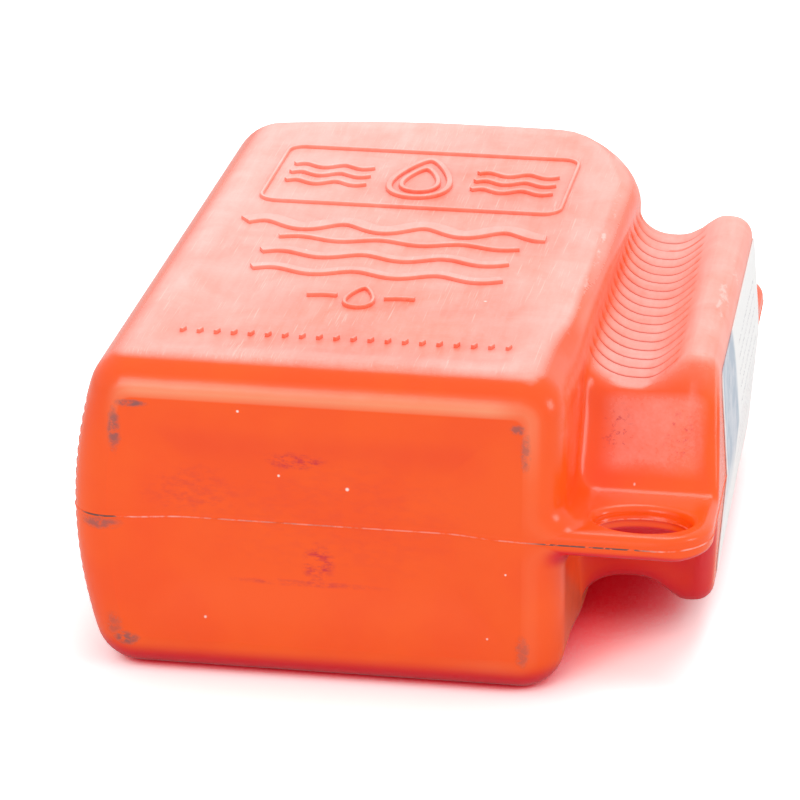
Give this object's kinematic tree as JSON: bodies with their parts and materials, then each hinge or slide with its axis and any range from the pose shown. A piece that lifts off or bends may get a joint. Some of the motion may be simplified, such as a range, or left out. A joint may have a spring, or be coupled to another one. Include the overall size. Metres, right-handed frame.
{
  "type": "motor oil bottle",
  "caption": "Blow-moulded plastic bottle for two-stroke oil with a ribbed side grip, a hanging hole in the web and a screw cap.",
  "frame": {"origin": "centre of the bounding box at its lowest face, on the surface that the back panel lies on", "axes": "+Z out of the front panel, -Y out of the base, +Y along the neck towards the cap, +X towards the grip"},
  "size_m": [0.1333, 0.202, 0.07],
  "materials": {
    "bottle_plastic": "satin orange-red polyethylene, chalked on the front panel",
    "cap_plastic": "satin white polypropylene",
    "liner_foam": "fine closed foam",
    "band_plastic": "satin white polypropylene",
    "label_film": "printed white film"
  },
  "bodies": {
    "shell": {"bottle": "bottle_plastic", "side_label": "label_film"},
    "band": {"tamper_band": "band_plastic"},
    "liner": {"cap_liner": "liner_foam"},
    "screw_cap": {"cap": "cap_plastic"}
  },
  "joints": [
    {"name": "band_spin", "type": "hinge", "parent": "shell", "child": "band", "pos_m": [-0.02737, 0.07995, 0.035], "axis": [0, 1, 0], "continuous": true},
    {"name": "cap_lift", "type": "slide", "parent": "shell", "child": "liner", "axis": [0, 1, 0], "range_m": [0, 0.00635]},
    {"name": "cap_turn", "type": "hinge", "parent": "liner", "child": "screw_cap", "pos_m": [-0.02737, 0.08895, 0.035], "axis": [0, 1, 0], "range_deg": [0, 540]}
  ],
  "couplings": [
    {"joint": "cap_turn", "follows": "cap_lift", "rad_per_m": 1484.2}
  ]
}
